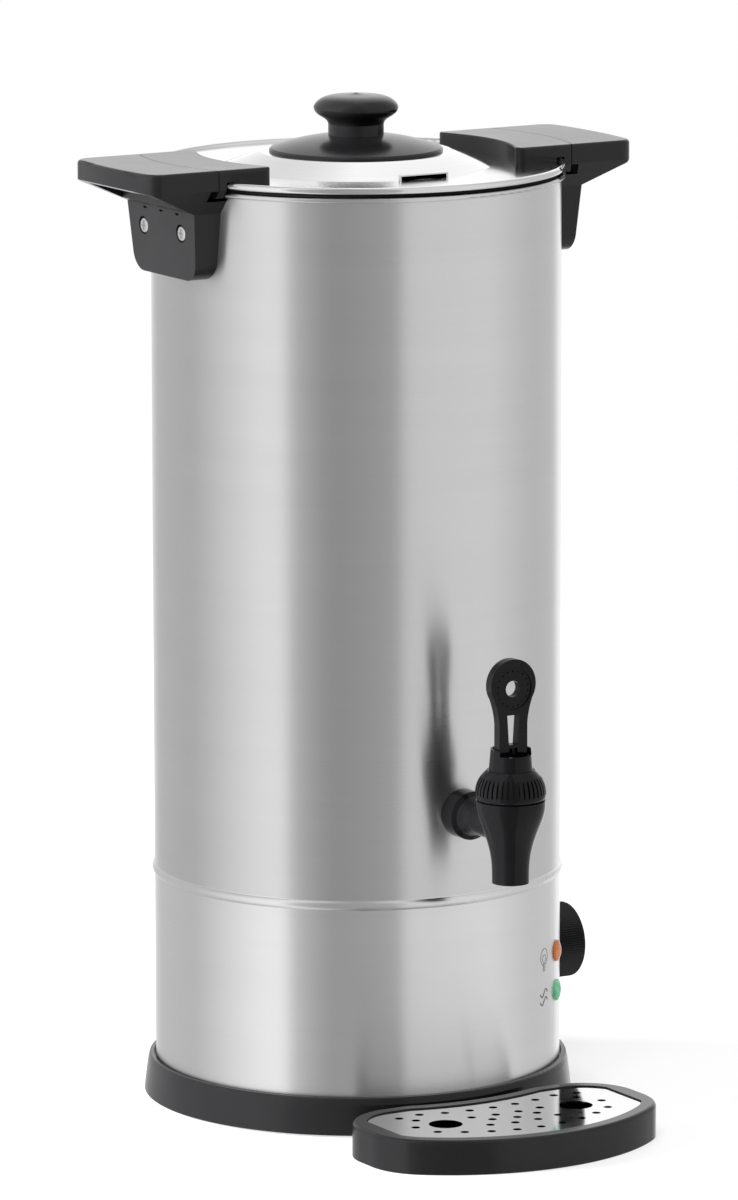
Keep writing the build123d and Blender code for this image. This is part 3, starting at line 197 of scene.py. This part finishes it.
# %% Spun steel
def outward(tree, centre):
    """Level direction away from an upright axis, in world space."""
    from_axis = vector_maths(tree, "SUBTRACT", place(tree), (*centre, 0.0)).outputs[0]
    level = vector_maths(tree, "MULTIPLY", from_axis, (1.0, 1.0, 0.0)).outputs[0]
    spaces = {"convert_from": "OBJECT", "convert_to": "WORLD"}
    turned = add(tree, "ShaderNodeVectorTransform", {"Vector": level}, **spaces).outputs[0]
    return vector_maths(tree, "NORMALIZE", turned).outputs[0]


def spun_steel(name, centre, polish, tones, smear):
    """Polished sheet with faint circular marks about an upright axis."""
    made, tree, shader = finish_of(name, Metallic=1.0, Anisotropic=smear)
    rings = noise(tree, stretched(tree, (0.25, 900.0, 0.0), round_axis(tree, centre)), 5.0, 0.65)
    smears = noise(tree, stretched(tree, (14.0, 14.0, 14.0)))
    smear_rough = ranged(tree, smears, 0.35, 0.7, polish, polish + 0.05)
    wire(
        tree, shader,
        Base_Color=tinted(tree, varied(tree, rings, 0.0, 1.0), *tones),
        Roughness=maths(tree, "ADD", smear_rough, varied(tree, rings, 0.0, 0.02)),
        Tangent=outward(tree, centre),
        Normal=bump(tree, rings, 0.03, 0.04 * MM),
    )
    return made


LID_MIDDLE, PLATE_MIDDLE = (0.0, 0.0), (0.0, -180.0 * MM)
LID_TONES = ((0.76, 0.76, 0.765), (0.82, 0.82, 0.825))
PLATE_TONES = ((0.74, 0.74, 0.745), (0.8, 0.8, 0.805))
FINISHES["polished_steel"] = spun_steel("polished_steel", LID_MIDDLE, 0.10, LID_TONES, 0.7)
mirror_steel = spun_steel("mirror_steel", PLATE_MIDDLE, 0.04, PLATE_TONES, 0.0)
print("made", list(FINISHES)[-1], mirror_steel.name)

# %% [markdown]
# ## Plated, cast and galvanised metal
# Screws and nuts are plated, the heater plate is cast, and the base plate is galvanised. They share
# one recipe, a mottled metal, with a grain and a roughness of their own.

# %% Plain metals
def plain_metal(name, tones, rough_low, rough_high, grain):
    """Metal with a mottled surface."""
    made, tree, shader = finish_of(name, Metallic=1.0)
    mottle = noise(tree, stretched(tree, (grain, grain, grain)), 5.0, 0.6)
    wire(
        tree, shader,
        Base_Color=tinted(tree, varied(tree, mottle, 0.0, 1.0), *tones),
        Roughness=varied(tree, mottle, rough_low, rough_high),
        Normal=bump(tree, mottle, 0.15),
    )
    return made


CAST_TONES = ((0.68, 0.68, 0.69), (0.78, 0.78, 0.79))
ZINC_TONES = ((0.5, 0.5, 0.51), (0.64, 0.64, 0.65))
PLATED_TONES = ((0.84, 0.84, 0.845), (0.94, 0.94, 0.945))
FINISHES["aluminium"] = plain_metal("aluminium", CAST_TONES, 0.35, 0.5, 600.0)
FINISHES["galvanised"] = plain_metal("galvanised", ZINC_TONES, 0.3, 0.45, 120.0)
FINISHES["fasteners"] = plain_metal("fasteners", PLATED_TONES, 0.12, 0.2, 500.0)
print("made", list(FINISHES)[-3:])

# %% [markdown]
# ## Moulded plastic and rubber
# The black handles, base, tray and knobs come from spark-eroded moulds: an even grain, far too fine
# to model, that softens highlights. A bump from fine noise gives it, and a slow noise varies the
# gloss a little, as the flow of the plastic does. The tap comes from a polished mould and has a
# thin clear coat. Rubber and silicone are the same recipe, rougher.

# %% Mouldings
def moulded(name, tones, rough_low, rough_high, grain, depth, coat=0.0, shine=0.5):
    """Moulded plastic or rubber with a fine grain."""
    made, tree, shader = finish_of(name, IOR=1.5, Coat_Weight=coat, Coat_Roughness=0.05)
    shader.inputs["Specular IOR Level"].default_value = shine
    fine = noise(tree, stretched(tree, (grain, grain, grain)), 3.0, 0.6)
    flow = noise(tree, stretched(tree, (9.0, 9.0, 9.0)), 3.0)
    fine_rough = varied(tree, fine, rough_low, rough_high)
    wire(
        tree, shader,
        Base_Color=tinted(tree, varied(tree, flow, 0.0, 1.0), *tones),
        Roughness=maths(tree, "ADD", fine_rough, varied(tree, flow, -0.03, 0.03)),
        Normal=bump(tree, fine, depth),
    )
    return made


BLACK = ((0.005, 0.005, 0.0055), (0.008, 0.008, 0.0085))
JET = ((0.002, 0.002, 0.0025), (0.004, 0.004, 0.0045))
SOOT = ((0.008, 0.008, 0.008), (0.014, 0.014, 0.014))
WHITE = ((0.74, 0.73, 0.7), (0.8, 0.79, 0.77))
MILKY = ((0.66, 0.66, 0.63), (0.74, 0.74, 0.7))
FINISHES["dark_plastic"] = moulded("dark_plastic", BLACK, 0.19, 0.24, 1900.0, 0.06, shine=0.34)
FINISHES["gloss_black"] = moulded("gloss_black", JET, 0.08, 0.12, 700.0, 0.03, coat=0.12, shine=0.14)
FINISHES["white_plastic"] = moulded("white_plastic", WHITE, 0.4, 0.5, 1500.0, 0.15)
FINISHES["rubber"] = moulded("rubber", SOOT, 0.7, 0.85, 1400.0, 0.3, shine=0.2)
FINISHES["silicone"] = moulded("silicone", MILKY, 0.35, 0.45, 1200.0, 0.1)
print("made", list(FINISHES)[-5:])

# %% [markdown]
# ## Lamp lenses
# An unlit lamp shows its tinted plastic and the ribs moulded behind it. Real transmission would
# show only a dark housing, so the tint is an ordinary colour under a clear coat, with the ribs as a
# sine of the height in colour and bump.

# %% Lenses
RIB_PITCH = 1.2083 * MM


def lens(name, dark, light):
    """Tinted lamp lens, ribbed inside."""
    made, tree, shader = finish_of(name, IOR=1.49, Coat_Weight=0.6, Coat_Roughness=0.03)
    point = add(tree, "ShaderNodeSeparateXYZ", {"Vector": place(tree)})
    ribs = maths(tree, "SINE", maths(tree, "MULTIPLY", point.outputs["Z"], 2 * pi / RIB_PITCH))
    cloud = noise(tree, stretched(tree, (160.0, 160.0, 160.0)), 2.0)
    tone = maths(tree, "ADD", maths(tree, "MULTIPLY", ribs, 0.2), cloud)
    wire(
        tree, shader,
        Base_Color=tinted(tree, ranged(tree, tone, 0.2, 0.8, 0.0, 1.0), dark, light),
        Roughness=varied(tree, cloud, 0.12, 0.2),
        Normal=bump(tree, ribs, 0.12),
    )
    return made


FINISHES["orange_lens"] = lens("orange_lens", (0.45, 0.12, 0.03), (0.72, 0.24, 0.07))
FINISHES["green_lens"] = lens("green_lens", (0.12, 0.50, 0.26), (0.30, 0.80, 0.50))
print("made", list(FINISHES)[-2:])

# %% [markdown]
# ## Put the finishes on the CAD nodes
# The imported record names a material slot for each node. One loop gives every node the finish of its
# slot. The drip plate then gets its brighter polish and the skirt its lighter steel.

# %% Dress the nodes
for part in frame["record"]["subparts"]:
    mesh = NODES[part["node"]].data
    mesh.materials.clear()
    mesh.materials.append(FINISHES[part["material_slot"]])
NODES["drip_plate"].data.materials[0] = mirror_steel
NODES["skirt"].data.materials[0] = skirt_steel

# %% [markdown]
# ## Printed symbols
# Two pictograms are printed on the skirt beside the lamps. Ink has hardly any thickness, but a
# texture would need a picture, so each line is a thin strip of its own: a flat grid, one quad wide,
# whose rows are set across a path and then wrapped on the round skirt. Solidify gives it 0.08 mm.

# %% A strip that follows a path on the skirt
BODY_R = 125.0 * MM
INK = 0.08 * MM
SYMBOL_ANGLE = 35.5  # degrees from the tap towards the control knob


def on_skirt(z, right, up):
    """A drawn point, right and up of a symbol's middle, wrapped on the skirt."""
    turn = radians(SYMBOL_ANGLE) + right / BODY_R
    return Vector((BODY_R * sin(turn), -BODY_R * cos(turn), z + up))


def strip(mesh, z, path, width, steps=36):
    """One printed line: path gives its middle for shares from 0 to 1."""
    made = bmesh.ops.create_grid(mesh, x_segments=steps, y_segments=1, size=0.5)
    for vert in made["verts"]:
        share, side = vert.co.x + 0.5, vert.co.y
        along = (path(share + 0.01) - path(share - 0.01)).normalized()
        spot = path(share) + Vector((-along.y, along.x)) * side * width
        vert.co = on_skirt(z, spot.x, spot.y)


def arc_path(radius, start, sweep, up=0.0):
    """Part of a circle."""
    def path(share):
        turn = radians(start + sweep * share)
        return Vector((radius * cos(turn), radius * sin(turn) + up))
    return path


def wave_path(half_width, swing, up):
    """One full wave lying level."""
    return lambda share: Vector((half_width * (2 * share - 1), up - swing * sin(2 * pi * share)))


def line_path(right, low, high):
    """An upright line."""
    return lambda share: Vector((right, low + (high - low) * share))


# %% Turn a bmesh into a piece
def mesh_piece(name, mesh, body, finish):
    """A finished bmesh as one object that rides on a body."""
    data = bpy.data.meshes.new(name)
    mesh.to_mesh(data)
    mesh.free()
    piece = bpy.data.objects.new(name, data)
    bpy.context.scene.collection.objects.link(piece)
    piece.data.materials.append(finish)
    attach(piece, body)
    print(name, "faces", len(data.polygons))
    return piece


def printed(name, z, lines, finish):
    """A symbol beside the lamps, from (path, width) lines."""
    mesh = bmesh.new()
    for path, width in lines:
        strip(mesh, z, path, width)
    bmesh.ops.recalc_face_normals(mesh, faces=mesh.faces)
    for face in mesh.faces:
        if face.normal.dot(face.calc_center_median() * Vector((1, 1, 0))) < 0:
            face.normal_flip()
    bmesh.ops.solidify(mesh, geom=mesh.faces[:], thickness=-INK)
    return mesh_piece(name, mesh, "urn", finish)


# %% The two symbols
HEATING_Z, KEEP_WARM_Z = 93.1 * MM, 67.9 * MM
INK_TONES = {
    "grey_ink": ((0.14, 0.14, 0.14), (0.2, 0.2, 0.2)),
    "black_ink": ((0.02, 0.02, 0.02), (0.03, 0.03, 0.03)),
}
grey_ink, black_ink = (moulded(name, tones, 0.4, 0.5, 1500.0, 0.05) for name, tones in INK_TONES.items())
ring = (arc_path(5.2 * MM, -78, 336), 0.45 * MM)
bulb = (arc_path(2.4 * MM, -60, 300, -1.0 * MM), 0.4 * MM)
stems = [(line_path(right * MM, -9.0 * MM, -3.2 * MM), 0.5 * MM) for right in (-1.05, 1.05)]
waves = [(wave_path(5.6 * MM, 2.2 * MM, up * MM), 0.7 * MM) for up in (-2.5, 2.5)]
printed("symbol_heating", HEATING_Z, [ring, bulb, *stems], grey_ink)
printed("symbol_keep_warm", KEEP_WARM_Z, waves, black_ink)

# %% [markdown]
# ## Dots round the lever's hole
# The dished head of the tap's lever carries a ring of small raised dots for grip. They are half
# round and stand on the dish, so each is a small sphere, sunk by half and pressed flat in Y.

# %% Lever dots
DISH_Y, HOLE_Z, DOT_RING_R = -182.3 * MM, 280.8 * MM, 10.7 * MM
DOT_COUNT, DOT_R = 18, 0.6 * MM
PRESSED = Matrix.Diagonal((1.0, 0.55, 1.0, 1.0))
DULL = ((0.003, 0.003, 0.003), (0.005, 0.005, 0.005))
dots = bmesh.new()
for i in range(DOT_COUNT):
    turn = 2 * pi * (i + 0.5) / DOT_COUNT
    spot = Matrix.Translation((DOT_RING_R * cos(turn), DISH_Y, HOLE_Z + DOT_RING_R * sin(turn)))
    bmesh.ops.create_uvsphere(dots, u_segments=12, v_segments=8, radius=DOT_R, matrix=spot @ PRESSED)
matt_black = moulded("matt_black", DULL, 0.8, 0.9, 1500.0, 0.1, shine=0.05)
mesh_piece("lever_dots", dots, "lever", matt_black)

# %% [markdown]
# ## Camera
# The boiler is seen from its left, slightly from above, from five metres with a long lens, which
# keeps its uprights nearly parallel.

# %% Camera
CAMERA_AT = Vector((-2.4936, -4.2165, 1.1947))
CAMERA_TOWARDS = Vector((0.50215, 0.84617, -0.17844))
CAMERA_ROLL = radians(-0.09)
FOCAL, SENSOR = 243.3, 36.0

lens_data = bpy.data.cameras.new("camera")
lens_data.lens, lens_data.sensor_width = FOCAL, SENSOR
lens_data.clip_start, lens_data.clip_end = 0.05, 60.0
camera = bpy.data.objects.new("camera", lens_data)
camera.location = CAMERA_AT
camera.rotation_mode = "QUATERNION"
camera.rotation_quaternion = CAMERA_TOWARDS.to_track_quat("-Z", "Y") @ Quaternion((0, 0, 1), CAMERA_ROLL)
bpy.context.scene.collection.objects.link(camera)
bpy.context.scene.camera = camera
bpy.context.scene.view_settings.view_transform = "Standard"
print("camera distance", round(CAMERA_AT.length, 2))

# %% [markdown]
# ## Studio
# Polished steel looks like what stands round it. Here that is a studio with pale panels and
# darker gaps between them, which the tank mirrors as upright bands. Panels as real objects would
# show in other views, so the world holds them: a ramp of brightness over the bearing, seen only by
# reflections. Everything else gets soft even light, and the camera sees plain white.

# %% World
# Bearing in degrees from the camera's side, positive to its right, and the brightness there.
PANELS = [
    (-180, 1.2), (-155, 0.6), (-105, 0.56), (-60, 0.98), (-42, 1.06), (-37, 0.56), (-15, 0.35), (24, 0.44),
    (27, 0.77), (80, 0.83), (115, 0.64), (146, 0.64), (160, 1.1), (180, 1.2),
]
world = bpy.data.worlds.new("studio")
bpy.context.scene.world = world
world.use_nodes = True
tree = world.node_tree
tree.nodes.clear()
ray = add(tree, "ShaderNodeTexCoord").outputs["Generated"]
toward = Vector((CAMERA_AT.x, CAMERA_AT.y, 0)).normalized()
right = Vector((-toward.y, toward.x, 0))
ahead = vector_maths(tree, "DOT_PRODUCT", ray, toward).outputs["Value"]
aside = vector_maths(tree, "DOT_PRODUCT", ray, right).outputs["Value"]
bearing = ranged(tree, maths(tree, "ARCTAN2", aside, ahead), -pi, pi, 0.0, 1.0)
ramp = add(tree, "ShaderNodeValToRGB", {"Fac": bearing})
stops = ramp.color_ramp.elements
while len(stops) < len(PANELS):
    stops.new(0.5)
# Every stop is in its place before the first is coloured, as a moving stop can pass its neighbour.
for stop, (bearing_there, level) in zip(stops, PANELS):
    stop.position = (bearing_there + 180) / 360
for stop, (bearing_there, level) in zip(stops, PANELS):
    stop.color = (level, level, level, 1.0)
print("panels:", len(stops))

# %% What each kind of ray sees
SOFT_LIGHT = 0.22
PURE_WHITE = (1.0, 1.0, 1.0, 1.0)


def mixed(tree, share, first, second):
    """Two shaders, the second by its share."""
    return add(tree, "ShaderNodeMixShader", {0: share, 1: first.outputs[0], 2: second.outputs[0]})


kind = add(tree, "ShaderNodeLightPath").outputs
mirrored = maths(tree, "MAXIMUM", kind["Is Glossy Ray"], kind["Is Transmission Ray"])
soft = add(tree, "ShaderNodeBackground", {"Color": PURE_WHITE, "Strength": SOFT_LIGHT})
bands = add(tree, "ShaderNodeBackground", {"Color": ramp.outputs["Color"], "Strength": 1.0})
white = add(tree, "ShaderNodeBackground", {"Color": PURE_WHITE, "Strength": 1.0})
seen = mixed(tree, kind["Is Camera Ray"], mixed(tree, mirrored, soft, bands), white)
add(tree, "ShaderNodeOutputWorld", {"Surface": seen.outputs[0]})
print("world nodes:", len(tree.nodes))

# %% [markdown]
# Three large soft lamps shape the black pieces: one beside the boiler on its left, one high above
# and one behind. The panels already stand for them in the steel, so the lamps themselves are
# hidden from reflections.

# %% Lamps
def softbox(name, at, look, size, power):
    """A square area lamp."""
    lamp = bpy.data.lights.new(name, "AREA")
    lamp.size, lamp.energy = size, power
    made = bpy.data.objects.new(name, lamp)
    made.location = at
    made.rotation_mode = "QUATERNION"
    made.rotation_quaternion = (Vector(look) - Vector(at)).to_track_quat("-Z", "Y")
    made.visible_glossy = False
    bpy.context.scene.collection.objects.link(made)
    print(name, "lamp", power, "W")


softbox("left", (-2.2, 0.9, 1.0), (0, 0, 0.35), 1.2, 330.0)
softbox("overhead", (-0.9, -1.1, 2.6), (0, 0, 0.3), 1.3, 60.0)
softbox("rear", (0.9, 1.4, 2.4), (0, 0, 0.4), 1.0, 30.0)

# %% [markdown]
# ## Floor
# The floor is a pale disc that fades into the white surround, so it has no edge and still takes the
# boiler's shadow. It is hidden from reflections, because the world already holds what steel sees.

# %% Floor
FLOOR_R, FADE_FROM, FADE_TO = 2.6, 0.35, 2.47
BELOW = Matrix.Translation((0, 0, -0.4 * MM))
GLOW_SHARE = 0.7
disc = bmesh.new()
bmesh.ops.create_circle(disc, cap_ends=True, segments=96, radius=FLOOR_R, matrix=BELOW)
floor_data = bpy.data.meshes.new("floor")
disc.to_mesh(floor_data)
disc.free()
floor = bpy.data.objects.new("floor", floor_data)
bpy.context.scene.collection.objects.link(floor)
floor.visible_glossy = False

surface = bpy.data.materials.new("floor")
surface.use_nodes = True
tree = surface.node_tree
tree.nodes.clear()
grain = noise(tree, stretched(tree, (60.0, 60.0, 60.0)), 3.0)
pale = tinted(tree, grain, (0.9, 0.9, 0.9), (0.93, 0.93, 0.93))
matt = add(tree, "ShaderNodeBsdfDiffuse", {"Color": pale})
glow = add(tree, "ShaderNodeEmission", {"Color": PURE_WHITE, "Strength": 1.0})
lit = maths(tree, "MULTIPLY", add(tree, "ShaderNodeLightPath").outputs["Is Camera Ray"], GLOW_SHARE)
from_middle = vector_maths(tree, "LENGTH", place(tree)).outputs["Value"]
fade = ranged(tree, from_middle, FADE_FROM, FADE_TO, 0.0, 1.0)
clear = add(tree, "ShaderNodeBsdfTransparent")
faded = mixed(tree, fade, mixed(tree, lit, matt, glow), clear)
add(tree, "ShaderNodeOutputMaterial", {"Surface": faded.outputs[0]})
floor_data.materials.append(surface)
print("floor radius", FLOOR_R)
